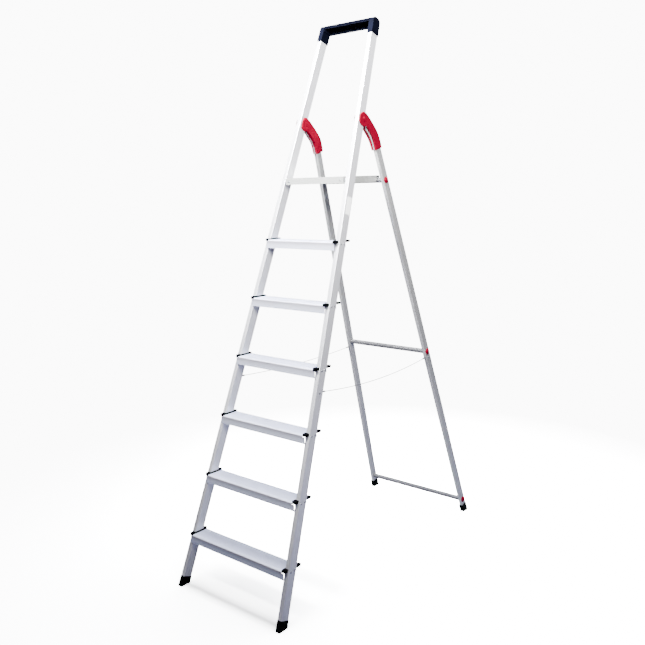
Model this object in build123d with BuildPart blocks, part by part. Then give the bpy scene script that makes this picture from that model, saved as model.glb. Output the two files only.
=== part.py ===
from build123d import *
import os
from math import atan, cos, hypot, pi, radians, sin, tan

# A seven-step aluminium platform ladder, standing open. Millimetres, +Z up, +X to the climber's
# right, +Y from the treads towards the rear legs. The origin is on the floor, at the centre of the
# rectangle that the feet stand in. Every right-hand piece has a mirror image on the left.

# ---- front frame ----
front_half_floor = 285.6
front_taper = 0.0648
front_slope = 0.3747
stile_width = 19.4
stile_depth = 40.8
stile_wall = 1.6
stile_corner = 2.2
front_run = hypot(1, front_slope)

# ---- rear frame ----
rear_half_floor = 279.4
rear_taper = 0.0631
rear_slope = 0.2941
leg_width = 16.2
leg_depth = 32.2
leg_wall = 1.4
leg_corner = 2.0
rear_run = hypot(1, rear_slope)
leg_spread = 1313.6

# ---- feet ----
front_foot_wall = 1.8
front_foot_top = 35.0
rear_foot_wall = 3.0
rear_foot_top = 38.0
foot_groove_pitch = 8.5
foot_groove_width = 2.2
foot_groove_depth = 1.2

# ---- steps ----
tread_count = 6
first_tread = 207.0
tread_pitch = 234.2
tread_nose = 18.0
tread_rear = 60.0
tread_web = 33.0
tread_overlap = 10.0
tongue_gap = 2.6
nose_radius = 7.0
rib_pitch = 4.6
rib_count = 14
rib_gap = 1.5
rib_depth = 1.6
flange_width = 10.0
plate = 2.6
cap_flange = 3.2
cap_rise = 5.8
cap_fall = 4.4
cap_drop = 24.0
cap_inset = 4.0
port_radius = 4.6
screw_radius = 2.4
port_places = (14.0, 33.0)
port_drop = 8.5

# ---- platform ----
platform_top = 1628.5
platform_height = 27.0
platform_front = 20.5
platform_length = 268.0
platform_half = 153.0
platform_taper = 0.075
pivot_back = 17.8
pivot_below = 14.5
pivot_radius = 5.0
pivot_clearance = 0.06
bar_clearance = 0.6

# ---- handle ----
handle_top = 2260.0
handle_arm_bottom = 2200.0
handle_wall = 3.0
handle_inner_wall = 1.4
crown_radius = 18.0
rail_height = 29.4
rail_lip = 14.0
rail_wall = 4.0
rail_end = 6.0

# ---- hinge ----
hinge_height = 1850.5
hinge_back = 32.1
hinge_bolt_radius = 4.0
bush_radius = 7.0
bush_clearance = 0.05
cheek_thickness = 4.4
leg_top = 84.0
cover_end = 138.0

# ---- rear crossbars ----
bar_radius = 10.5
bar_wall = 1.5
bar_heights = {"top": 1608.0, "middle": 838.0, "bottom": 63.0}
bar_cap_radius = 14.4
bar_cap_rise = 6.5

# ---- restraint cords ----
cord_radius = 1.5
cord_front_height = 819.0
cord_rear_height = 811.0
sleeve_radius = 3.2
sleeve_length = 20.0
sleeve_bore = cord_radius + 0.1
anchor_radius = 4.5

front_toe = front_foot_wall * front_run
rear_heel = (leg_depth + rear_foot_wall) * rear_run
front_face = -(leg_spread + rear_heel - front_toe) / 2
rear_face = front_face + leg_spread
on_base = (Align.CENTER, Align.CENTER, Align.MIN)


def front_y(z):
    """Front face of the stiles at a height."""
    return front_face + front_slope * z


def rear_y(z):
    """Front face of the rear legs at a height."""
    return rear_face - rear_slope * z


def front_half(z):
    """Outer face of the stiles at a height, measured from the centre."""
    return front_half_floor - front_taper * z


def rear_half(z):
    """Outer face of the rear legs at a height, measured from the centre."""
    return rear_half_floor - rear_taper * z


def across(x, y, z):
    """A plane whose normal runs to the climber's right."""
    return Plane(origin=(x, y, z), x_dir=(0, 1, 0), z_dir=(1, 0, 0))


def save(piece, label):
    """Labels a finished piece and writes it."""
    piece.label = label
    export_step(piece, f"parts/{label}.step")


def save_pair(piece, label):
    """Writes a right-hand piece and its mirror image."""
    save(piece, f"{label}_right")
    save(piece.mirror(Plane.YZ), f"{label}_left")


# The right stile's section plane: X runs back through its depth, Z runs up the stile.
stile_plane = Plane(
    origin=(front_half_floor - stile_width / 2, front_face + stile_depth / 2 * front_run, 0),
    x_dir=(0, 1, -front_slope),
    z_dir=(-front_taper, front_slope, 1),
)
# The right leg's section plane: X runs back through its depth, Z runs up the leg.
leg_plane = Plane(
    origin=(rear_half_floor - leg_width / 2, rear_face + leg_depth / 2 * rear_run, 0),
    x_dir=(0, 1, rear_slope),
    z_dir=(-rear_taper, -rear_slope, 1),
)
# The side view of the front frame: X back through the stiles' depth, Y up the stiles, Z to the right.
front_side = Plane(origin=(0, front_face, 0), x_dir=(0, 1, -front_slope), z_dir=(1, 0, 0))
# The side view of the rear frame around the hinge: X back from the hinge, Y down along the legs.
hinge_y = front_y(hinge_height) + hinge_back
hinge_side = Plane(origin=(0, hinge_y, hinge_height), x_dir=(0, 1, rear_slope), z_dir=(-1, 0, 0))
# The front view of the rear frame from the hinge down: X to the right, Y down along the legs.
hinge_front = Plane(origin=(0, hinge_y, hinge_height), x_dir=(1, 0, 0), z_dir=(0, 1, rear_slope))
pivot_y = front_y(platform_top - pivot_below) + pivot_back
pivot_z = platform_top - pivot_below
tread_tops = [first_tread + tread_pitch * i for i in range(tread_count)]
stile_length = (handle_top - 22) * hypot(front_run, front_taper)
hinge_on_leg = Vector(rear_half(hinge_height) - leg_width / 2, hinge_y, hinge_height)
leg_length = leg_plane.to_local_coords(hinge_on_leg).Z - leg_top
tube_start = 12.0

os.makedirs("parts", exist_ok=True)

# ---- solid outlines of a stile and a leg, which their neighbours are cut to ----
with BuildPart() as stile_block:
    with BuildSketch(stile_plane.offset(tube_start)):
        RectangleRounded(stile_depth, stile_width, stile_corner)
    extrude(amount=stile_length - tube_start)

with BuildPart() as leg_block:
    with BuildSketch(leg_plane.offset(tube_start)):
        RectangleRounded(leg_depth, leg_width, leg_corner)
    extrude(amount=leg_length - tube_start)

# ---- stiles: drawn tubes with holes for the tread screws, the pivots and the cords ----
screw_places = [
    (front_y(top - port_drop) + back, top - port_drop) for top in tread_tops for back in port_places
]
cord_front_y = front_y(cord_front_height) + stile_depth * front_run
cord_front_x = front_half(cord_front_height) - stile_width / 2
anchor_front_y = front_y(cord_front_height) + stile_depth * front_run / 2
with BuildPart() as stile:
    add(stile_block.part)
    with BuildSketch(stile_plane.offset(tube_start)):
        RectangleRounded(stile_depth - 2 * stile_wall, stile_width - 2 * stile_wall, stile_corner / 2)
    extrude(amount=stile_length - tube_start, mode=Mode.SUBTRACT)
    for y, z in screw_places:
        with Locations(across(front_half(z) - stile_width / 2, y, z)):
            Cylinder(screw_radius, stile_width * 2, mode=Mode.SUBTRACT)
    with Locations(across(front_half(hinge_height) - stile_width / 2, hinge_y, hinge_height)):
        Cylinder(bush_radius, stile_width * 2, mode=Mode.SUBTRACT)
    with Locations(across(front_half(pivot_z) - stile_width, pivot_y, pivot_z)):
        Cylinder(pivot_radius, stile_width / 2, mode=Mode.SUBTRACT)
    with Locations(across(front_half(cord_front_height), anchor_front_y, cord_front_height)):
        Cylinder(anchor_radius / 2, stile_width / 2, mode=Mode.SUBTRACT)
save_pair(stile.part, "stile")

# ---- front feet: a black sleeve around each stile end, cut flat on the floor ----
with BuildPart() as front_foot:
    with BuildSketch(stile_plane.offset(-3 * tube_start)):
        RectangleRounded(
            stile_depth + 2 * front_foot_wall,
            stile_width + 2 * front_foot_wall,
            stile_corner + front_foot_wall,
        )
    extrude(amount=front_foot_top + 3 * tube_start)
    split(bisect_by=Plane.XY, keep=Keep.TOP)
    add(stile_block.part, mode=Mode.SUBTRACT)
    with BuildSketch(Plane.XY):
        with Locations((front_half_floor - stile_width / 2, front_face + stile_depth / 2 * front_run)):
            with GridLocations(0, foot_groove_pitch, 1, 4):
                Rectangle(stile_width * 2, foot_groove_width)
    extrude(amount=foot_groove_depth, mode=Mode.SUBTRACT)
save_pair(front_foot.part, "front_foot")

# ---- treads: ribbed extrusions, open underneath, with two screw ports along their length ----
for number, top in enumerate(tread_tops, 1):
    half = front_half(top) - stile_width - cap_flange
    nose_y = front_y(top) - tread_nose
    with BuildPart() as tread:
        with BuildSketch(Plane(origin=(-half, front_y(top), top), x_dir=(0, 1, 0), z_dir=(1, 0, 0))):
            with Locations((-tread_nose, 0)):
                Rectangle(tread_nose + tread_rear, plate, align=(Align.MIN, Align.MAX))
                Rectangle(plate, tread_web, align=(Align.MIN, Align.MAX))
            with Locations((-tread_nose, -tread_web)):
                Rectangle(flange_width, plate, align=(Align.MIN, Align.MIN))
            with Locations((tread_rear, 0)):
                Rectangle(plate, tread_web - 3, align=(Align.MAX, Align.MAX))
            with Locations((tread_rear, 3 - tread_web)):
                Rectangle(flange_width, plate, align=(Align.MAX, Align.MIN))
            for back in port_places:
                with Locations((back - front_slope * port_drop, -port_drop)):
                    Circle(port_radius)
                with Locations((back - front_slope * port_drop, 0)):
                    Rectangle(4, port_drop, align=(Align.CENTER, Align.MAX))
            for back in port_places:
                with Locations((back - front_slope * port_drop, -port_drop)):
                    Circle(screw_radius, mode=Mode.SUBTRACT)
            with Locations((tread_rear - 4 - rib_pitch * (rib_count - 1) / 2, 0)):
                with GridLocations(rib_pitch, 0, rib_count, 1):
                    Rectangle(rib_gap, rib_depth, mode=Mode.SUBTRACT)
        extrude(amount=2 * half)
        nose_lines = tread.edges().filter_by(Axis.X)
        fillet(nose_lines.sort_by_distance((0, nose_y + plate, top - plate))[0], nose_radius - plate)
        nose_lines = tread.edges().filter_by(Axis.X)
        fillet(nose_lines.sort_by_distance((0, nose_y, top))[0], nose_radius)
        with BuildSketch(Plane.XY.offset(top - tread_web)):
            with Locations((0, nose_y)):
                Rectangle(2 * (half + tread_overlap), plate, align=(Align.CENTER, Align.MIN))
        extrude(amount=tread_web - cap_fall - tongue_gap)
    save(tread.part, f"tread_{number}")

# ---- tread end caps: a flange along the stile, a tongue in front of it and a prow behind it ----
cap_back = stile_depth * front_run
for number, top in enumerate(tread_tops, 1):
    half = front_half(top) - stile_width - cap_flange
    outer = front_half(top) - cap_inset
    step_y = front_y(top)
    behind = step_y + cap_back
    with BuildPart() as tread_cap:
        with BuildSketch(Plane.XY.offset(top - cap_drop)):
            with Locations((half, step_y - 1)):
                Rectangle(cap_flange + 4, cap_back + 15, align=(Align.MIN, Align.MIN))
        extrude(amount=cap_drop + cap_rise)
        with BuildSketch(Plane.XY.offset(top - cap_fall)) as tongue:
            with Locations((half, step_y - tread_nose + 1)):
                Rectangle(outer - half, tread_nose + 4, align=(Align.MIN, Align.MIN))
            fillet(tongue.vertices().group_by(Axis.Y)[0].sort_by(Axis.X)[-1], 8)
            fillet(tongue.vertices().group_by(Axis.Y)[0].sort_by(Axis.X)[0], 2)
            with BuildLine():
                Polyline(
                    (half, behind - 4),
                    (outer + 2, behind - 4),
                    (outer + 4, behind + 8),
                    (outer + 3, behind + 24),
                    (outer - 1, behind + 29),
                    (outer - 8, behind + 27),
                    (half + 4, behind + 20),
                    (half, behind + 14),
                    close=True,
                )
            make_face()
        extrude(amount=cap_fall + cap_rise)
        with BuildSketch(Plane(origin=(half, step_y, top), x_dir=(0, 1, 0), z_dir=(1, 0, 0))):
            with BuildLine():
                Polyline(
                    (-tread_nose, -cap_fall),
                    (-tread_nose, 2.6),
                    (-tread_nose + 6, cap_rise),
                    (cap_back + 8, cap_rise),
                    (cap_back + 30, 2),
                    (cap_back + 30, -2),
                    (cap_back + 15, -cap_fall - 1),
                    (cap_back + 15, -cap_drop),
                    (-1, -cap_drop),
                    (-1, -cap_fall),
                    close=True,
                )
            make_face()
        extrude(amount=2 * stile_width, mode=Mode.INTERSECT)
        add(stile_block.part, mode=Mode.SUBTRACT)
        for y, z in screw_places[2 * number - 2 : 2 * number]:
            with Locations(across(half, y, z)):
                Cylinder(screw_radius, 4 * cap_flange, mode=Mode.SUBTRACT)
    save_pair(tread_cap.part, f"tread_cap_{number}")

# ---- tread screws: through the stile and the end cap into the tread's ports ----
with BuildPart() as tread_screws:
    for y, z in screw_places:
        outer = front_half(z)
        shank_end = outer - stile_width - cap_flange - 9
        with Locations(across(shank_end, y, z)):
            Cylinder(screw_radius, outer + 0.6 - shank_end, align=on_base)
        with Locations(across(outer + 0.4, y, z)):
            Cone(4.4, 3.0, 1.5, align=on_base)
save_pair(tread_screws.part, "tread_screws")

# ---- top handle: a sleeve over each stile end and a hollow bar between them, open at the front ----
side_drift = front_slope * front_taper / front_run**2
handle_side = Plane(
    origin=(front_half_floor + stile_depth / 2 * front_run * side_drift, front_face, 0),
    x_dir=(0, 1, -front_slope),
    z_dir=(1, side_drift, front_taper / front_run**2),
)
stile_stretch = hypot(front_run, front_taper)
handle_depth = stile_depth + 2 * handle_wall
crown = (handle_top + 4.9) * front_run
arm_crown = (handle_top + 4.9) * stile_stretch
arm_low = (handle_arm_bottom - 1.0) * stile_stretch
bar_half = front_half(handle_arm_bottom) - stile_width
with BuildPart() as handle_arm:
    with BuildSketch(handle_side.offset(handle_wall)) as arm_outline:
        with Locations((-handle_wall, arm_low)):
            Rectangle(handle_depth, arm_crown - arm_low, align=(Align.MIN, Align.MIN))
        fillet(arm_outline.vertices().group_by(Axis.Y)[-1], crown_radius)
    extrude(amount=-(stile_width + handle_wall + handle_inner_wall))
    fillet(handle_arm.faces().sort_by(Axis.X)[-1].edges(), 2.4)
    fillet(handle_arm.faces().sort_by(Axis.X)[0].edges(), 1.0)
with BuildPart() as top_handle:
    with BuildSketch(front_side.offset(-bar_half)) as bar_outline:
        with Locations((-handle_wall, crown)):
            Rectangle(handle_depth, rail_height, align=(Align.MIN, Align.MAX))
        fillet(bar_outline.vertices().group_by(Axis.Y)[-1], crown_radius)
        with Locations((-handle_wall, crown - rail_lip)):
            Rectangle(rail_wall, rail_height, align=(Align.MIN, Align.MAX), mode=Mode.SUBTRACT)
    extrude(amount=2 * bar_half)
    with BuildSketch(front_side.offset(rail_end - bar_half)) as rail_hollow:
        with Locations((rail_wall - handle_wall, crown - rail_wall)):
            Rectangle(handle_depth - 2 * rail_wall, 2 * rail_height, align=(Align.MIN, Align.MAX))
        fillet(rail_hollow.vertices().group_by(Axis.Y)[-1], crown_radius - rail_wall)
    extrude(amount=2 * (bar_half - rail_end), mode=Mode.SUBTRACT)
    with BuildSketch(front_side.offset(rail_end - bar_half)):
        with Locations((handle_depth - handle_wall - rail_wall, crown - rail_height / 2)):
            Rectangle(rail_wall, 2.4, align=(Align.MAX, Align.CENTER))
    extrude(amount=2 * (bar_half - rail_end))
    add(handle_arm.part)
    add(handle_arm.part.mirror(Plane.YZ))
    add(stile_block.part, mode=Mode.SUBTRACT)
    add(stile_block.part.mirror(Plane.YZ), mode=Mode.SUBTRACT)
save(top_handle.part, "top_handle")

# ---- blank label on the right stile's outer side ----
label_size = (28.0, 72.0)
label_centre = 1521.0
with BuildPart() as side_label:
    with BuildSketch(handle_side.offset(0.05)):
        with Locations((stile_depth / 2 + 1.5, label_centre * stile_stretch)):
            RectangleRounded(*label_size, 2.0)
    extrude(amount=0.4)
save(side_label.part, "side_label")

# ---- rear legs: drawn tubes bored for the crossbars and the cord anchors ----
leg_middle = leg_depth * rear_run / 2
anchor_rear_y = rear_y(cord_rear_height) + leg_middle
with BuildPart() as rear_leg:
    add(leg_block.part)
    with BuildSketch(leg_plane.offset(tube_start)):
        RectangleRounded(leg_depth - 2 * leg_wall, leg_width - 2 * leg_wall, leg_corner / 2)
    extrude(amount=leg_length - tube_start, mode=Mode.SUBTRACT)
    for z in bar_heights.values():
        with Locations(across(rear_half(z), rear_y(z) + leg_middle, z)):
            Cylinder(bar_radius, 4 * leg_width, mode=Mode.SUBTRACT)
    with Locations(across(rear_half(cord_rear_height), anchor_rear_y, cord_rear_height)):
        Cylinder(anchor_radius / 2, leg_width / 2, mode=Mode.SUBTRACT)
save_pair(rear_leg.part, "rear_leg")

# ---- rear feet ----
with BuildPart() as rear_foot:
    with BuildSketch(leg_plane.offset(-3 * tube_start)):
        RectangleRounded(
            leg_depth + 2 * rear_foot_wall,
            leg_width + 2 * rear_foot_wall,
            leg_corner + rear_foot_wall,
        )
    extrude(amount=rear_foot_top + 3 * tube_start)
    split(bisect_by=Plane.XY, keep=Keep.TOP)
    add(leg_block.part, mode=Mode.SUBTRACT)
    with BuildSketch(Plane.XY):
        with Locations((rear_half_floor - leg_width / 2, rear_face + leg_middle)):
            with GridLocations(0, foot_groove_pitch, 1, 4):
                Rectangle(leg_width * 2, foot_groove_width)
    extrude(amount=foot_groove_depth, mode=Mode.SUBTRACT)
save_pair(rear_foot.part, "rear_foot")

# ---- crossbars: round tubes through both legs, closed by domed caps ----
cap_seat = 1.8
for name, z in bar_heights.items():
    bar_end = rear_half(z) + 0.3
    bar_y = rear_y(z) + leg_middle
    with BuildPart() as crossbar:
        with BuildSketch(across(-bar_end, bar_y, z)):
            Circle(bar_radius)
            Circle(bar_radius - bar_wall, mode=Mode.SUBTRACT)
        extrude(amount=2 * bar_end)
    save(crossbar.part, f"crossbar_{name}")
    with BuildPart() as bar_cap:
        with BuildSketch(Plane(origin=(bar_end - cap_seat, bar_y, z), x_dir=(1, 0, 0), z_dir=(0, -1, 0))):
            with BuildLine():
                Polyline(
                    (cap_seat, bar_cap_radius),
                    (0, bar_cap_radius),
                    (0, 0),
                    (cap_seat + bar_cap_rise, 0),
                )
                TangentArc((cap_seat + bar_cap_rise, 0), (cap_seat, bar_cap_radius), tangent=(0, 1))
            make_face()
        revolve(axis=Axis((0, bar_y, z), (1, 0, 0)))
        add(leg_block.part, mode=Mode.SUBTRACT)
        with Locations(across(bar_end - 2 * bar_radius, bar_y, z)):
            Cylinder(bar_radius, 2 * bar_radius, align=on_base, mode=Mode.SUBTRACT)
            Cylinder(bar_radius - bar_wall, 2 * bar_radius, align=on_base)
    with BuildPart() as bar_caps:
        add(bar_cap.part)
        add(bar_cap.part.mirror(Plane.YZ))
    save(bar_caps.part, f"crossbar_caps_{name}")

# ---- hinge covers: a cheek each side of the stile, filled in behind it and sleeved over the leg ----
cheek_outer = 172.2
cheek_inner = 140.5
cheek_round = 2.8
arm_outer = 167.9
arm_inner = 144.1
arm_gap = (157.0, 163.5)
leaning_start = 70.0
leaning_end = 148.7
stile_room = 12.4
stand_angle = atan(front_slope) + atan(rear_slope)
room_reach = 200.0
room_bend = stile_room * (1 - cos(stand_angle)) / sin(stand_angle)
room_rise = (stile_room - room_reach * cos(stand_angle)) / sin(stand_angle)
with BuildSketch() as cheek_outline:
    with BuildLine():
        ThreePointArc((22.3, -18.5), (-20.5, 20.5), (1.0, 29.0))
        Spline(
            (1.0, 29.0),
            (18.2, 53.0),
            (30.7, 77.0),
            (37.2, 103.0),
            (38.0, cover_end),
            tangents=[(1, 0.4), (0, 1)],
        )
        Line((38.0, cover_end), (80.5, cover_end))
        Spline(
            (80.5, cover_end),
            (79.0, 105.0),
            (72.5, 73.8),
            (57.8, 40.3),
            (39.2, 6.6),
            (22.3, -18.5),
            tangents=[(0, -1), (-18.5, -22.3)],
        )
    make_face()

# The room the stile sweeps between the cheeks as the frames fold together.
with BuildPart() as stile_sweep:
    with BuildSketch(hinge_side.offset(-arm_inner)):
        Rectangle(3 * room_reach, 3 * room_reach)
        with BuildLine():
            Polyline(
                (stile_room, room_reach),
                (stile_room, room_bend),
                (room_reach, room_rise),
                (room_reach, room_reach),
                close=True,
            )
        make_face(mode=Mode.SUBTRACT)
    extrude(amount=arm_inner - arm_outer)

with BuildPart() as cover_outer:
    with BuildSketch(hinge_side.offset(-arm_gap[1])):
        add(cheek_outline.sketch)
    extrude(amount=arm_gap[1] - cheek_outer)
    fillet(cover_outer.faces().sort_by(Axis.X)[-1].edges(), cheek_round)
    add(stile_sweep.part, mode=Mode.SUBTRACT)
    add(leg_block.part, mode=Mode.SUBTRACT)
    with Locations(across(cheek_outer, hinge_y, hinge_height)):
        Cylinder(hinge_bolt_radius, 4 * cheek_thickness, mode=Mode.SUBTRACT)
save_pair(cover_outer.part, "hinge_cover_outer")

with BuildPart() as cover_inner:
    with BuildSketch(hinge_side.offset(-cheek_inner)):
        add(cheek_outline.sketch)
    extrude(amount=cheek_inner - arm_gap[0])
    fillet(cover_inner.faces().sort_by(Axis.X)[0].edges(), cheek_round)
    with BuildSketch(hinge_side.offset(-cheek_inner)):
        with BuildLine():
            Polyline((19, -60), (-71, 60), (-160, 60), (-160, -60), close=True)
        make_face()
    extrude(amount=cheek_inner - cheek_outer, mode=Mode.SUBTRACT)
    add(stile_sweep.part, mode=Mode.SUBTRACT)
    with BuildSketch(hinge_front):
        with BuildLine():
            Polyline(
                (cheek_inner, leaning_start),
                (leaning_end, cover_end),
                (leaning_end, 2 * cover_end),
                (0, 2 * cover_end),
                (0, leaning_start),
                close=True,
            )
        make_face()
    extrude(amount=2 * cover_end, both=True, mode=Mode.SUBTRACT)
    add(leg_block.part, mode=Mode.SUBTRACT)
    with Locations(across(cheek_inner, hinge_y, hinge_height)):
        Cylinder(hinge_bolt_radius, 4 * cheek_thickness, mode=Mode.SUBTRACT)
save_pair(cover_inner.part, "hinge_cover_inner")

# ---- hinge arms: plates between the covers that stand on the legs and run down their front faces ----
with BuildPart() as hinge_arm:
    with BuildSketch(hinge_side.offset(-arm_gap[0])):
        with BuildLine():
            Polyline(
                (13, 8),
                (34, 4),
                (54, 40),
                (70, 78),
                (74.2, leg_top),
                (42.5, leg_top),
                (42.5, cover_end - 2),
                (39.2, cover_end - 2),
                (38.6, 104),
                (32.0, 78),
                (19.6, 54),
                (13, 45),
                close=True,
            )
        make_face()
    extrude(amount=arm_gap[0] - arm_gap[1])
    add(leg_block.part, mode=Mode.SUBTRACT)
save_pair(hinge_arm.part, "hinge_arm")

# ---- hinge bolts and the bushes they turn in ----
bolt_head_radius = 6.0
bolt_head_rise = 1.2
with BuildPart() as hinge_bolts:
    for side in (1, -1):
        with Locations(across(side * (cheek_inner + cheek_outer) / 2, hinge_y, hinge_height)):
            Cylinder(hinge_bolt_radius, cheek_outer - cheek_inner)
        for head in (cheek_outer + bolt_head_rise / 2, cheek_inner - bolt_head_rise / 2):
            with Locations(across(side * head, hinge_y, hinge_height)):
                Cylinder(bolt_head_radius, bolt_head_rise)
save(hinge_bolts.part, "hinge_bolts")

with BuildPart() as hinge_bushes:
    for side in (1, -1):
        with Locations(across(side * (arm_inner + arm_outer) / 2, hinge_y, hinge_height)):
            Cylinder(bush_radius, arm_outer - arm_inner - 0.6)
            Cylinder(hinge_bolt_radius + bush_clearance, 2 * arm_outer, mode=Mode.SUBTRACT)
save(hinge_bushes.part, "hinge_bushes")

# ---- platform: a deck plate, two side panels hooked over the top crossbar and a front lip ----
platform_y = pivot_y - platform_front
panel_thickness = 2.5
lip_return = 12.0
lip_bolt_x = 139.0
deck_rib_pitch = 9.0
deck_rib_count = 27
deck_rib_gap = 3.0
deck_margin = 12.0
pivot_end = 146.0
pivot_washers = {147.6: (pivot_radius + 2, 3.2), 157.6: (pivot_radius + 3, 6.8)}
deck_underside = platform_top - plate
panel_plane = Plane(
    origin=(platform_half, pivot_y, platform_top),
    x_dir=(-platform_taper, 1, 0),
    z_dir=(1, platform_taper, 0),
)
hook_back = (rear_y(bar_heights["top"]) + leg_middle - pivot_y) * hypot(1, platform_taper)
hook_drop = platform_top - bar_heights["top"]
hook_radius = bar_radius + bar_clearance


def deck_half(y):
    """Outer face of the platform's side panels at a depth."""
    return platform_half - platform_taper * (y - pivot_y)


platform_end = platform_y + platform_length
with BuildPart() as deck:
    with BuildSketch(Plane.XY.offset(deck_underside)) as deck_outline:
        with BuildLine():
            Polyline(
                (-deck_half(platform_y), platform_y),
                (deck_half(platform_y), platform_y),
                (deck_half(platform_end), platform_end),
                (-deck_half(platform_end), platform_end),
                close=True,
            )
        make_face()
        fillet(deck_outline.vertices(), 3)
    extrude(amount=plate)
    with BuildSketch(Plane.XY.offset(platform_top)):
        with Locations((0, platform_y + platform_length / 2)):
            with GridLocations(0, deck_rib_pitch, 1, deck_rib_count):
                Rectangle(2 * (deck_half(platform_end) - deck_margin), deck_rib_gap)
    extrude(amount=-1.0, mode=Mode.SUBTRACT)
save(deck.part, "platform_deck")

with BuildPart() as lip:
    with BuildSketch(Plane(origin=(0, platform_y, deck_underside), x_dir=(0, 1, 0), z_dir=(1, 0, 0))):
        Rectangle(plate, platform_height - plate, align=(Align.MIN, Align.MAX))
    extrude(amount=deck_half(platform_y), both=True)
    with BuildSketch(Plane(origin=(0, platform_y, deck_underside), x_dir=(0, 1, 0), z_dir=(1, 0, 0))):
        with Locations((0, plate - platform_height)):
            Rectangle(lip_return, 2.0, align=(Align.MIN, Align.MIN))
    extrude(amount=deck_half(platform_y + lip_return) - panel_thickness, both=True)
save(lip.part, "platform_lip")

with BuildPart() as side_panel:
    with BuildSketch(panel_plane):
        with Locations((-platform_front, -plate)):
            Rectangle(platform_length, platform_height - plate, align=(Align.MIN, Align.MAX))
        with Locations((hook_back, -hook_drop)):
            Circle(hook_radius, mode=Mode.SUBTRACT)
        with BuildLine():
            Polyline(
                (hook_back - hook_radius, -hook_drop),
                (hook_back + hook_radius, -hook_drop),
                (hook_back + hook_radius, -2 * platform_height),
                (hook_back - 3 * hook_radius, -2 * platform_height),
                close=True,
            )
        make_face(mode=Mode.SUBTRACT)
    extrude(amount=-panel_thickness)
    add(lip.part, mode=Mode.SUBTRACT)
    with Locations(across(platform_half, pivot_y, pivot_z)):
        Cylinder(pivot_radius + pivot_clearance, 8 * panel_thickness, mode=Mode.SUBTRACT)
save_pair(side_panel.part, "platform_side")

with BuildPart() as lip_bolts:
    for x in (lip_bolt_x, -lip_bolt_x):
        with Locations(Plane(origin=(x, platform_y, pivot_z), z_dir=(0, -1, 0))):
            Cone(4.8, 3.4, 2.2, align=on_base)
save(lip_bolts.part, "platform_lip_bolts")

pivot_start = front_half(pivot_z) - stile_width + stile_wall
with BuildPart() as platform_pivots:
    for side in (1, -1):
        with Locations(across(side * (pivot_end + pivot_start) / 2, pivot_y, pivot_z)):
            Cylinder(pivot_radius, pivot_start - pivot_end)
        for middle, (washer_radius, washer_thickness) in pivot_washers.items():
            with Locations(across(side * middle, pivot_y, pivot_z)):
                Cylinder(washer_radius, washer_thickness)
save(platform_pivots.part, "platform_pivots")

# ---- restraint cords: one each side, from the stile's rear face to the leg's front face ----
cord_rear_y = rear_y(cord_rear_height)
cord_rear_x = rear_half(cord_rear_height) - leg_width / 2
cord_depths = [
    -323.1, -267.3, -211.6, -155.8, -100.1, -44.4, 11.3,
    67, 122.8, 178.5, 234.2, 290, 345.7, 400.4,
]
cord_heights = {
    "right": [
        819, 811.3, 804.8, 799.4, 795.2, 792.2, 790.5,
        789.8, 790.4, 792.2, 795.1, 799.2, 804.5, 811,
    ],
    "left": [
        819, 814.4, 810.5, 807.2, 804.6, 802.7, 801.4,
        800.8, 800.9, 801.5, 802.9, 804.9, 807.6, 811,
    ],
}
cord_draw_in = (cord_front_x - cord_rear_x) / (cord_rear_y - cord_front_y)
cord_section = pi * cord_radius**2
for side, name in ((1, "right"), (-1, "left")):
    route = [
        Vector(side * (cord_front_x - cord_draw_in * (y - cord_front_y)), y, z)
        for y, z in zip(cord_depths, cord_heights[name])
    ]
    runs = [ahead - here for here, ahead in zip(route, route[1:])]
    turns = [before.get_angle(after) for before, after in zip(runs, runs[1:])]
    radii = [
        0.45 * min(before.length, after.length) / tan(radians(turn / 2))
        for before, after, turn in zip(runs, runs[1:], turns)
    ]
    with BuildPart() as restraint_cord:
        with BuildLine() as cord_path:
            FilletPolyline(*route, radius=radii)
        with BuildSketch(Plane(origin=route[0], z_dir=runs[0])):
            Circle(cord_radius)
        sweep()
    save(restraint_cord.part, f"restraint_cord_{name}")
    length = sum(piece.length for piece in cord_path.edges())
    volume_ratio = restraint_cord.part.volume / cord_section / length
    print(name, "cord bend radii", [round(radius) for radius in radii])
    print(name, "cord length", round(length, 1), "volume ratio", round(volume_ratio, 4))

# ---- cord anchors: bolts through the stile's and the leg's outer walls ----
for name, places in {
    "front": (front_half(cord_front_height), anchor_front_y, cord_front_height),
    "rear": (rear_half(cord_rear_height), anchor_rear_y, cord_rear_height),
}.items():
    outer, y, z = places
    with BuildPart() as anchor:
        with Locations(across(outer - 0.3, y, z)):
            Cylinder(anchor_radius, 1.5, align=on_base)
        with Locations(across(outer + 1.2, y, z)):
            Cone(anchor_radius, anchor_radius - 1.5, 1.2, align=on_base)
        add(stile_block.part, mode=Mode.SUBTRACT)
        add(leg_block.part, mode=Mode.SUBTRACT)
        with Locations(across(outer - 5, y, z)):
            Cylinder(anchor_radius / 2, 5.5, align=on_base)
    with BuildPart() as anchors:
        add(anchor.part)
        add(anchor.part.mirror(Plane.YZ))
    save(anchors.part, f"cord_anchors_{name}")

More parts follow.
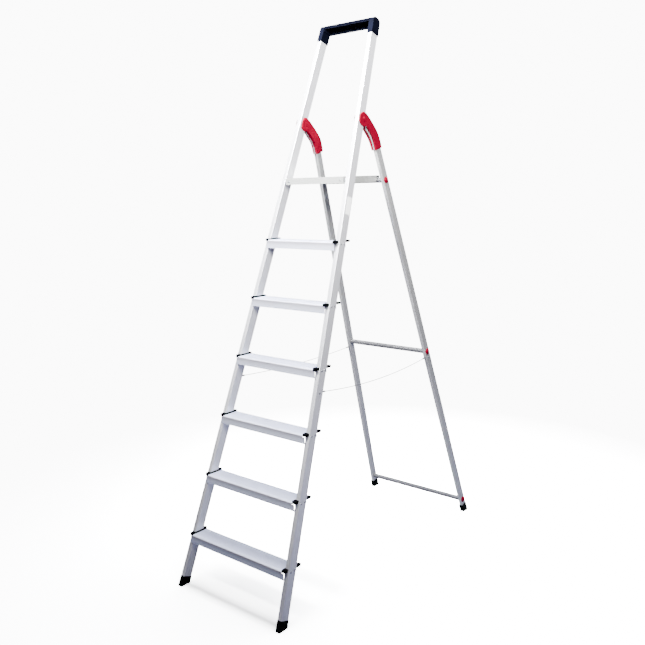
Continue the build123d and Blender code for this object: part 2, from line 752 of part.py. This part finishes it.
# ---- cord sleeves: crimped ferrules where each cord meets the stile and the leg ----
for name, ends in {"front": (0, 1), "rear": (-1, -2)}.items():
    with BuildPart() as sleeves:
        for side, heights in ((1, cord_heights["right"]), (-1, cord_heights["left"])):
            near, far = [
                Vector(
                    side * (cord_front_x - cord_draw_in * (cord_depths[end] - cord_front_y)),
                    cord_depths[end],
                    heights[end],
                )
                for end in ends
            ]
            along = (far - near).normalized()
            with Locations(Plane(origin=near - along * 3, z_dir=along)):
                Cylinder(sleeve_radius, sleeve_length + 3, align=on_base)
                Cylinder(sleeve_bore, sleeve_length + 3, align=on_base, mode=Mode.SUBTRACT)
        for block in (stile_block.part, leg_block.part):
            add(block, mode=Mode.SUBTRACT)
            add(block.mirror(Plane.YZ), mode=Mode.SUBTRACT)
    save(sleeves.part, f"cord_sleeves_{name}")

# ---- leg rivets: low heads on the legs' front faces above the feet ----
rivet_height = 165.0
with BuildPart() as leg_rivets:
    for side in (1, -1):
        rivet_x = side * (rear_half(rivet_height) - leg_width / 2)
        rivet_seat = (rivet_x, rear_y(rivet_height), rivet_height)
        with Locations(Plane(origin=rivet_seat, z_dir=(0, -1, -rear_slope))):
            Cone(3.0, 2.0, 1.2, align=on_base)
save(leg_rivets.part, "leg_rivets")
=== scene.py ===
from math import cos, hypot, pi, radians, sin

import bmesh
import bpy
from mathutils import Matrix, Vector


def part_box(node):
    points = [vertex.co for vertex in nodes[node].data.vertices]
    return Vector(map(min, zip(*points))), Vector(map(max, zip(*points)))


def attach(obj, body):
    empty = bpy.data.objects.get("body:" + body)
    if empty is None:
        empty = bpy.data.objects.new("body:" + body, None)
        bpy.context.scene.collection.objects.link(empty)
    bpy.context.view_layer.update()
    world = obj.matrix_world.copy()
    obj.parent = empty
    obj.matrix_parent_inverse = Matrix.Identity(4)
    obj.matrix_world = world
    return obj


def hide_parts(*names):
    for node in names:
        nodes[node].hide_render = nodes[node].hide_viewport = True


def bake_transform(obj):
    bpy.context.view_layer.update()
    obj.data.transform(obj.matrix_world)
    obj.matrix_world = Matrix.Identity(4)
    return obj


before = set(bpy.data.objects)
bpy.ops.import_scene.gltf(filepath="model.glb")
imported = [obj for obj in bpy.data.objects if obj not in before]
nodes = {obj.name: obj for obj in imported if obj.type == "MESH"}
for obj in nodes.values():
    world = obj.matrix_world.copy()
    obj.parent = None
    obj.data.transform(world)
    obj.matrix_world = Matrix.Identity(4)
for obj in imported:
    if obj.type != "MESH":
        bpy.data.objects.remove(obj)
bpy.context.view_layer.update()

# ---- the ladder's driving sizes, in metres, as in the CAD model ----
FRONT_SLOPE = 0.3747
FRONT_TAPER = 0.0648
FRONT_HALF = 0.2856
STILE_WIDTH = 0.0194
STILE_DEPTH = 0.0408
REAR_SLOPE = 0.2941
REAR_TAPER = 0.0631
REAR_HALF = 0.2794
LEG_WIDTH = 0.0162
LEG_SPREAD = 1.3136
FOOT_WALL = 0.0018
FRONT_RUN = hypot(1, FRONT_SLOPE)
FRONT_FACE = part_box("front_foot_right")[0].y + FOOT_WALL * FRONT_RUN
REAR_FACE = FRONT_FACE + LEG_SPREAD
SIDES = ((1, "right"), (-1, "left"))


def front_y(z):
    """Front face of the stiles at a height."""
    return FRONT_FACE + FRONT_SLOPE * z


def rear_y(z):
    """Front face of the rear legs at a height."""
    return REAR_FACE - REAR_SLOPE * z


def front_half(z):
    """Outer face of the stiles at a height."""
    return FRONT_HALF - FRONT_TAPER * z


def rear_half(z):
    """Outer face of the rear legs at a height."""
    return REAR_HALF - REAR_TAPER * z


# ---- materials ----
def new_material(name, color, roughness, metallic=0.0, specular=0.5):
    """A Principled material and the handles that its maker needs."""
    material = bpy.data.materials.new(name)
    material.use_nodes = True
    tree = material.node_tree
    shader = tree.nodes["Principled BSDF"]
    shader.inputs["Base Color"].default_value = (*color, 1)
    shader.inputs["Roughness"].default_value = roughness
    shader.inputs["Metallic"].default_value = metallic
    shader.inputs["Specular IOR Level"].default_value = specular
    return material, tree, shader


def object_point(tree, stretch=(1, 1, 1), turn=(0, 0, 0)):
    """Object coordinates, scaled and turned."""
    coordinates = tree.nodes.new("ShaderNodeTexCoord")
    mapping = tree.nodes.new("ShaderNodeMapping")
    mapping.inputs["Scale"].default_value = stretch
    mapping.inputs["Rotation"].default_value = turn
    tree.links.new(coordinates.outputs["Object"], mapping.inputs["Vector"])
    return mapping.outputs["Vector"]


def noise(tree, vector, scale, detail=4.0, roughness=0.55):
    """A noise texture's value."""
    node = tree.nodes.new("ShaderNodeTexNoise")
    node.inputs["Scale"].default_value = scale
    node.inputs["Detail"].default_value = detail
    node.inputs["Roughness"].default_value = roughness
    tree.links.new(vector, node.inputs["Vector"])
    return node.outputs["Fac"]


def spread(tree, value, low, high, start=0.3, end=0.7):
    """A value carried from one range to another."""
    node = tree.nodes.new("ShaderNodeMapRange")
    node.inputs["From Min"].default_value = start
    node.inputs["From Max"].default_value = end
    node.inputs["To Min"].default_value = low
    node.inputs["To Max"].default_value = high
    tree.links.new(value, node.inputs["Value"])
    return node.outputs["Result"]


def colour_ramp(tree, value, stops):
    """A colour ramp with the given stops."""
    node = tree.nodes.new("ShaderNodeValToRGB")
    ramp = node.color_ramp
    while len(ramp.elements) < len(stops):
        ramp.elements.new(0.5)
    for element, (position, color) in zip(ramp.elements, stops):
        element.position = position
        element.color = (*color, 1)
    tree.links.new(value, node.inputs["Fac"])
    return node.outputs["Color"]


def bump(tree, shader, height, strength, distance):
    """Bump from a height, into the shader's normal."""
    node = tree.nodes.new("ShaderNodeBump")
    node.inputs["Strength"].default_value = strength
    node.inputs["Distance"].default_value = distance
    tree.links.new(height, node.inputs["Height"])
    tree.links.new(node.outputs["Normal"], shader.inputs["Normal"])


def extruded_aluminium(name, light, dark, along, roughness=0.34, metallic=0.55):
    """Satin aluminium with fine die lines along the extrusion and a soft cloudiness."""
    material, tree, shader = new_material(name, light, roughness, metallic=metallic)
    lines = noise(tree, object_point(tree, along), 1.0, detail=6.0, roughness=0.7)
    clouds = noise(tree, object_point(tree), 9.0, detail=3.0)
    tree.links.new(colour_ramp(tree, clouds, [(0.25, dark), (0.75, light)]), shader.inputs["Base Color"])
    tree.links.new(spread(tree, lines, roughness - 0.06, roughness + 0.08), shader.inputs["Roughness"])
    bump(tree, shader, lines, 0.18, 0.0004)
    return material


def moulded_plastic(name, light, dark, roughness, grain, specular=0.3):
    """Injection-moulded plastic with a fine spark-eroded grain."""
    material, tree, shader = new_material(name, light, roughness, specular=specular)
    fine = noise(tree, object_point(tree), grain, detail=5.0, roughness=0.65)
    broad = noise(tree, object_point(tree), 30.0, detail=3.0)
    tree.links.new(colour_ramp(tree, broad, [(0.3, dark), (0.7, light)]), shader.inputs["Base Color"])
    tree.links.new(spread(tree, fine, roughness - 0.07, roughness + 0.1), shader.inputs["Roughness"])
    bump(tree, shader, fine, 0.25, 0.0003)
    return material


def plated_steel(name, light, dark):
    """Zinc-plated steel with turning marks."""
    material, tree, shader = new_material(name, light, 0.3, metallic=0.9)
    marks = noise(tree, object_point(tree), 900.0, detail=4.0)
    tree.links.new(colour_ramp(tree, marks, [(0.3, dark), (0.7, light)]), shader.inputs["Base Color"])
    tree.links.new(spread(tree, marks, 0.24, 0.42), shader.inputs["Roughness"])
    bump(tree, shader, marks, 0.2, 0.0002)
    return material


STILE = extruded_aluminium("stile_aluminium", (0.66, 0.665, 0.70), (0.60, 0.605, 0.65), (900, 900, 6))
# The rear legs and hinge arms use a darker copy of the stile aluminium: painted shade for the dimmer light
# they get.
LEG_PAINTED_SHADE = extruded_aluminium("leg_aluminium_painted_shade", (0.34, 0.34, 0.345), (0.28, 0.285, 0.30), (1100, 1100, 6))
# The tread aluminium is painted lighter and bluer than the stiles: painted light on the tread tops and a
# painted lavender reflection of the surroundings.
TREAD_PAINTED_LIGHT = extruded_aluminium(
    "tread_aluminium_painted_light", (0.72, 0.76, 0.95), (0.66, 0.70, 0.90), (5, 1400, 1400), 0.38, 0.35
)
# Painted reflection on the treads, by height: white at the top edge, a dark band painted under the nose,
# then mid grey below, multiplied into the colour.
tread_tree = TREAD_PAINTED_LIGHT.node_tree
tread_shader = tread_tree.nodes["Principled BSDF"]
tread_clouds = tread_shader.inputs["Base Color"].links[0].from_socket
tread_place = tread_tree.nodes.new("ShaderNodeTexCoord")
tread_height = tread_tree.nodes.new("ShaderNodeSeparateXYZ")
tread_tree.links.new(tread_place.outputs["Generated"], tread_height.inputs["Vector"])
# painted reflection: light top edge, dark band under the nose, mid grey web below
tread_painted_reflection = colour_ramp(
    tread_tree,
    tread_height.outputs["Z"],
    [(0.0, (0.80, 0.80, 0.78)), (0.45, (0.70, 0.68, 0.64)), (0.88, (0.34, 0.31, 0.28)), (0.96, (1, 1, 1))],
)
tread_painted_reflection_mix = tread_tree.nodes.new("ShaderNodeMix")
tread_painted_reflection_mix.data_type = "RGBA"
tread_painted_reflection_mix.blend_type = "MULTIPLY"
tread_painted_reflection_mix.inputs["Factor"].default_value = 1.0
tread_tree.links.new(tread_clouds, tread_painted_reflection_mix.inputs["A"])
tread_tree.links.new(tread_painted_reflection, tread_painted_reflection_mix.inputs["B"])
tread_tree.links.new(tread_painted_reflection_mix.outputs["Result"], tread_shader.inputs["Base Color"])
# The crossbars use a near-black copy of the aluminium: painted shade for the shade low down between the
# legs.
BAR_PAINTED_SHADE = extruded_aluminium("bar_aluminium_painted_shade", (0.11, 0.11, 0.118), (0.075, 0.077, 0.085), (5, 900, 900))
PLATFORM = extruded_aluminium("platform_aluminium", (0.46, 0.47, 0.46), (0.39, 0.40, 0.39), (5, 900, 900))
BLACK = moulded_plastic(
    "black_plastic", (0.0012, 0.0013, 0.0020), (0.0007, 0.0008, 0.0012), 0.4, 1400.0, 0.015
)
HANDLE = moulded_plastic(
    "handle_plastic", (0.0010, 0.0013, 0.0036), (0.0007, 0.0009, 0.0024), 0.5, 1100.0, 0.006
)
RED = moulded_plastic(
    "red_plastic", (0.105, 0.00003, 0.0082), (0.088, 0.00002, 0.0064), 0.34, 1500.0, 0.02
)
ZINC = plated_steel("zinc_steel", (0.36, 0.37, 0.40), (0.22, 0.23, 0.26))
NYLON = moulded_plastic("bush_nylon", (0.72, 0.70, 0.64), (0.64, 0.62, 0.56), 0.5, 1200.0)
SLEEVE = moulded_plastic("sleeve_plastic", (0.022, 0.024, 0.032), (0.014, 0.015, 0.022), 0.5, 1600.0)
LABEL = moulded_plastic("label_film", (0.82, 0.83, 0.84), (0.78, 0.79, 0.80), 0.3, 900.0, 0.3)
CORD = extruded_aluminium(
    "cord_strands", (0.050, 0.052, 0.060), (0.028, 0.029, 0.034), (300, 1500, 1500), 0.5, 0.3
)

NODE_MATERIALS = (
    ("stile", STILE),
    ("rear_leg", LEG_PAINTED_SHADE),
    ("tread_cap", BLACK),
    ("tread_screws", ZINC),
    ("tread", TREAD_PAINTED_LIGHT),
    ("front_foot", BLACK),
    ("rear_foot", BLACK),
    ("top_handle", HANDLE),
    ("crossbar_caps", RED),
    ("crossbar", BAR_PAINTED_SHADE),
    ("hinge_cover", RED),
    ("hinge_arm", LEG_PAINTED_SHADE),
    ("hinge_bolts", ZINC),
    ("hinge_bushes", NYLON),
    ("platform_pivots", ZINC),
    ("platform_lip_bolts", ZINC),
    ("platform", PLATFORM),
    ("cord_anchors", ZINC),
    ("cord_sleeves", SLEEVE),
    ("restraint_cord", CORD),
    ("leg_rivets", ZINC),
    ("side_label", LABEL),
)


def paint(thing, material):
    """Gives an object one material."""
    thing.data.materials.clear()
    thing.data.materials.append(material)


for node_name, node in nodes.items():
    paint(node, next(material for prefix, material in NODE_MATERIALS if node_name.startswith(prefix)))

# ---- restraint cords: laid cords along smooth splines with the CAD tubes' route points ----
CORD_RADIUS = 0.0015
CORD_DEPTHS = [
    -323.1, -267.3, -211.6, -155.8, -100.1, -44.4, 11.3,
    67, 122.8, 178.5, 234.2, 290, 345.7, 400.4,
]
CORD_HEIGHTS = {
    "right": [819, 811.3, 804.8, 799.4, 795.2, 792.2, 790.5, 789.8, 790.4, 792.2, 795.1, 799.2, 804.5, 811],
    "left": [819, 814.4, 810.5, 807.2, 804.6, 802.7, 801.4, 800.8, 800.9, 801.5, 802.9, 804.9, 807.6, 811],
}
MILLIMETRE = 0.001
CORD_FRONT_Z = 0.819
CORD_REAR_Z = 0.811
ROUTE_STEPS = 48
cord_front_x = front_half(CORD_FRONT_Z) - STILE_WIDTH / 2
cord_rear_x = rear_half(CORD_REAR_Z) - LEG_WIDTH / 2
cord_front_y = front_y(CORD_FRONT_Z) + STILE_DEPTH * FRONT_RUN
cord_draw_in = (cord_front_x - cord_rear_x) / (rear_y(CORD_REAR_Z) - cord_front_y)
STRANDS = 3
STRAND_PITCH = 0.011
STRAND_GROOVE = 0.20
RING = 15


def twisted_cord(name, points):
    """A laid cord of three strands that follows the points."""
    shape = bmesh.new()
    rings = []
    travelled = 0.0
    for index, point in enumerate(points):
        before = points[max(index - 1, 0)]
        after = points[min(index + 1, len(points) - 1)]
        along = (after - before).normalized()
        across = along.cross(Vector((1, 0, 0))).normalized()
        aside = across.cross(along)
        if index:
            travelled += (point - points[index - 1]).length
        turn = 2 * pi * travelled / STRAND_PITCH
        ring = []
        for step in range(RING):
            angle = 2 * pi * step / RING
            swell = 1 - STRAND_GROOVE + STRAND_GROOVE * abs(cos((angle * STRANDS - turn) / 2))
            offset = across * cos(angle) + aside * sin(angle)
            ring.append(shape.verts.new(point + offset * CORD_RADIUS * swell))
        rings.append(ring)
    for here, ahead in zip(rings, rings[1:]):
        for step in range(RING):
            following = (step + 1) % RING
            shape.faces.new((here[step], here[following], ahead[following], ahead[step]))
    shape.faces.new(rings[0])
    shape.faces.new(list(reversed(rings[-1])))
    bmesh.ops.recalc_face_normals(shape, faces=shape.faces)
    for face in shape.faces:
        face.smooth = True
    mesh = bpy.data.meshes.new(name)
    shape.to_mesh(mesh)
    shape.free()
    tube = bpy.data.objects.new(name, mesh)
    bpy.context.scene.collection.objects.link(tube)
    paint(tube, CORD)
    return tube


for side, name in SIDES:
    route = bpy.data.curves.new(f"route_{name}", "CURVE")
    route.dimensions = "3D"
    route.resolution_u = ROUTE_STEPS
    spline = route.splines.new("NURBS")
    spline.points.add(len(CORD_DEPTHS) - 1)
    for point, depth, height in zip(spline.points, CORD_DEPTHS, CORD_HEIGHTS[name]):
        depth = depth * MILLIMETRE
        from_centre = cord_front_x - cord_draw_in * (depth - cord_front_y)
        point.co = (side * from_centre, depth, height * MILLIMETRE, 1)
    spline.order_u = 3
    spline.use_endpoint_u = True
    spline.resolution_u = ROUTE_STEPS
    holder = bpy.data.objects.new(f"route_{name}", route)
    bpy.context.scene.collection.objects.link(holder)
    bpy.context.view_layer.update()
    line_mesh = bpy.data.meshes.new_from_object(holder)
    line = [vertex.co.copy() for vertex in line_mesh.vertices]
    bpy.data.meshes.remove(line_mesh)
    bpy.data.objects.remove(holder)
    bpy.data.curves.remove(route)
    tube = twisted_cord(f"cord_{name}", line)
    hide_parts(f"restraint_cord_{name}")
    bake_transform(tube)

# ---- red plugs and knob caps over the outer and inner ends of the hinge bolts ----
PLUG_PROFILE = [
    (0.0086, 0.0), (0.0086, 0.0008), (0.0081, 0.0015), (0.0074, 0.0018), (0.0070, 0.0016),
    (0.0064, 0.0016), (0.0056, 0.0022), (0.0042, 0.0027), (0.0022, 0.0030), (0.0, 0.0031),
]
PLUG_STEPS = 40


def lathe(name, profile, centre, outward, material):
    """A turned piece: (radius, rise) pairs spun about an axis through a centre."""
    shape = bmesh.new()
    spin = Vector(outward).to_track_quat("Z", "Y")
    rings = []
    for radius, rise in profile[:-1]:
        ring = []
        for step in range(PLUG_STEPS):
            angle = 2 * pi * step / PLUG_STEPS
            place = Vector((radius * cos(angle), radius * sin(angle), rise))
            ring.append(shape.verts.new(centre + spin @ place))
        rings.append(ring)
    tip = shape.verts.new(centre + spin @ Vector((0, 0, profile[-1][1])))
    for lower, upper in zip(rings, rings[1:]):
        for step in range(PLUG_STEPS):
            following = (step + 1) % PLUG_STEPS
            shape.faces.new((lower[step], lower[following], upper[following], upper[step]))
    for step in range(PLUG_STEPS):
        shape.faces.new((rings[-1][step], rings[-1][(step + 1) % PLUG_STEPS], tip))
    shape.faces.new(list(reversed(rings[0])))
    bmesh.ops.recalc_face_normals(shape, faces=shape.faces)
    for face in shape.faces:
        face.smooth = len(face.verts) < PLUG_STEPS
    mesh = bpy.data.meshes.new(name)
    shape.to_mesh(mesh)
    shape.free()
    piece = bpy.data.objects.new(name, mesh)
    bpy.context.scene.collection.objects.link(piece)
    paint(piece, material)
    return piece


bolt_low, bolt_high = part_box("hinge_bolts")
CHEEK_OUTER = 0.1722
bolt_y = (bolt_low.y + bolt_high.y) / 2
bolt_z = (bolt_low.z + bolt_high.z) / 2
CHEEK_INNER = 0.1405
KNOB_PROFILE = [
    (0.0252, 0.0), (0.0252, 0.0010), (0.0243, 0.0019), (0.0228, 0.0024), (0.0120, 0.0026),
    (0.0112, 0.0022), (0.0104, 0.0022), (0.0096, 0.0026), (0.0050, 0.0029), (0.0, 0.0030),
]
for side, name in SIDES:
    hinge_centres = (
        ("plug", PLUG_PROFILE, side * CHEEK_OUTER, side),
        ("knob", KNOB_PROFILE, side * CHEEK_INNER, -side),
    )
    for kind, profile, x, outward in hinge_centres:
        plug = lathe(f"hinge_{kind}_{name}", profile, Vector((x, bolt_y, bolt_z)), (outward, 0, 0), RED)
        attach(plug, "rear_frame")

# ---- camera, floor and light ----
AMBIENT = 0.08
BACKDROP = 11.0
FLOOR_GAIN = 4.2
CAMERA_PLACE = Vector((2.1264, -2.5053, 1.6185))
CAMERA_YAW = radians(40.8525)
CAMERA_DIP = radians(10.3723)
CAMERA_ROLL = radians(-1.899)
CAMERA_LENS = 43.563
CAMERA_SENSOR = 36
FLOOR_REACH = 30
forward = Vector((-sin(CAMERA_YAW) * cos(CAMERA_DIP), cos(CAMERA_YAW) * cos(CAMERA_DIP), -sin(CAMERA_DIP)))
level = Vector((cos(CAMERA_YAW), sin(CAMERA_YAW), 0))
upright = level.cross(forward)
camera_right = level * cos(CAMERA_ROLL) + upright * sin(CAMERA_ROLL)
camera_up = upright * cos(CAMERA_ROLL) - level * sin(CAMERA_ROLL)
camera_data = bpy.data.cameras.new("camera")
camera_data.lens = CAMERA_LENS
camera_data.sensor_width = CAMERA_SENSOR
camera = bpy.data.objects.new("camera", camera_data)
camera_turn = Matrix((camera_right, camera_up, -forward)).transposed().to_4x4()
camera.matrix_world = Matrix.Translation(CAMERA_PLACE) @ camera_turn
bpy.context.scene.collection.objects.link(camera)
bpy.context.scene.camera = camera

floor_mesh = bpy.data.meshes.new("floor")
shape = bmesh.new()
bmesh.ops.create_grid(shape, x_segments=1, y_segments=1, size=FLOOR_REACH)
shape.to_mesh(floor_mesh)
shape.free()
floor = bpy.data.objects.new("floor", floor_mesh)
bpy.context.scene.collection.objects.link(floor)
# The camera sees a bright floor that fades into the backdrop; other rays meet a darker one.
floor_material, floor_tree, floor_shader = new_material("pale_floor", (0.10, 0.105, 0.15), 0.9, specular=0.0)
seen_floor = floor_tree.nodes.new("ShaderNodeBsdfDiffuse")
seen_floor.inputs["Color"].default_value = (FLOOR_GAIN, FLOOR_GAIN, FLOOR_GAIN, 1)
floor_ray = floor_tree.nodes.new("ShaderNodeLightPath")
far_floor = floor_tree.nodes.new("ShaderNodeEmission")
far_floor.inputs["Strength"].default_value = BACKDROP
distance = floor_tree.nodes.new("ShaderNodeTexGradient")
distance.gradient_type = "SPHERICAL"
floor_tree.links.new(object_point(floor_tree, (0.45, 0.45, 0.45)), distance.inputs["Vector"])
floor_blend = floor_tree.nodes.new("ShaderNodeMixShader")
floor_tree.links.new(spread(floor_tree, distance.outputs["Fac"], 0, 1, 0.0, 0.6), floor_blend.inputs["Fac"])
floor_tree.links.new(far_floor.outputs["Emission"], floor_blend.inputs[1])
floor_tree.links.new(seen_floor.outputs["BSDF"], floor_blend.inputs[2])
floor_mix = floor_tree.nodes.new("ShaderNodeMixShader")
floor_tree.links.new(floor_ray.outputs["Is Camera Ray"], floor_mix.inputs["Fac"])
floor_tree.links.new(floor_shader.outputs["BSDF"], floor_mix.inputs[1])
floor_tree.links.new(floor_blend.outputs["Shader"], floor_mix.inputs[2])
floor_tree.links.new(floor_mix.outputs["Shader"], floor_tree.nodes["Material Output"].inputs["Surface"])
floor_mesh.materials.append(floor_material)

world = bpy.data.worlds.new("studio")
world.use_nodes = True
sky = world.node_tree.nodes["Background"]
sky.inputs["Color"].default_value = (0.72, 0.78, 1.0, 1)
sky.inputs["Strength"].default_value = AMBIENT
seen_sky = world.node_tree.nodes.new("ShaderNodeBackground")
seen_sky.inputs["Color"].default_value = (1, 1, 1, 1)
seen_sky.inputs["Strength"].default_value = BACKDROP
sky_ray = world.node_tree.nodes.new("ShaderNodeLightPath")
sky_mix = world.node_tree.nodes.new("ShaderNodeMixShader")
world.node_tree.links.new(sky_ray.outputs["Is Camera Ray"], sky_mix.inputs["Fac"])
world.node_tree.links.new(sky.outputs["Background"], sky_mix.inputs[1])
world.node_tree.links.new(seen_sky.outputs["Background"], sky_mix.inputs[2])
world.node_tree.links.new(sky_mix.outputs["Shader"], world.node_tree.nodes["World Output"].inputs["Surface"])
bpy.context.scene.world = world


def soft_light(name, place, target, size, power, color=(1, 1, 1), opening=180):
    """A square area light that points at a target, narrowed to an opening angle."""
    data = bpy.data.lights.new(name, "AREA")
    data.size = size
    data.energy = power
    data.color = color
    data.spread = radians(opening)
    lamp = bpy.data.objects.new(name, data)
    lamp.location = place
    lamp.rotation_euler = (Vector(target) - Vector(place)).to_track_quat("-Z", "Y").to_euler()
    bpy.context.scene.collection.objects.link(lamp)


soft_light("key_light", (-0.2, -1.6, 3.7), (0, 0.35, 2.4), 1.2, 480, (1.0, 1.0, 1.0), 78)
soft_light("overhead_light", (0, 1.1, 5.0), (0, -0.2, 0.4), 2.0, 430, (0.97, 0.98, 1.0), 110)
soft_light("right_light", (2.5, -1.2, 2.9), (0, 0.1, 2.5), 1.0, 150, (1.0, 0.99, 0.96), 86)
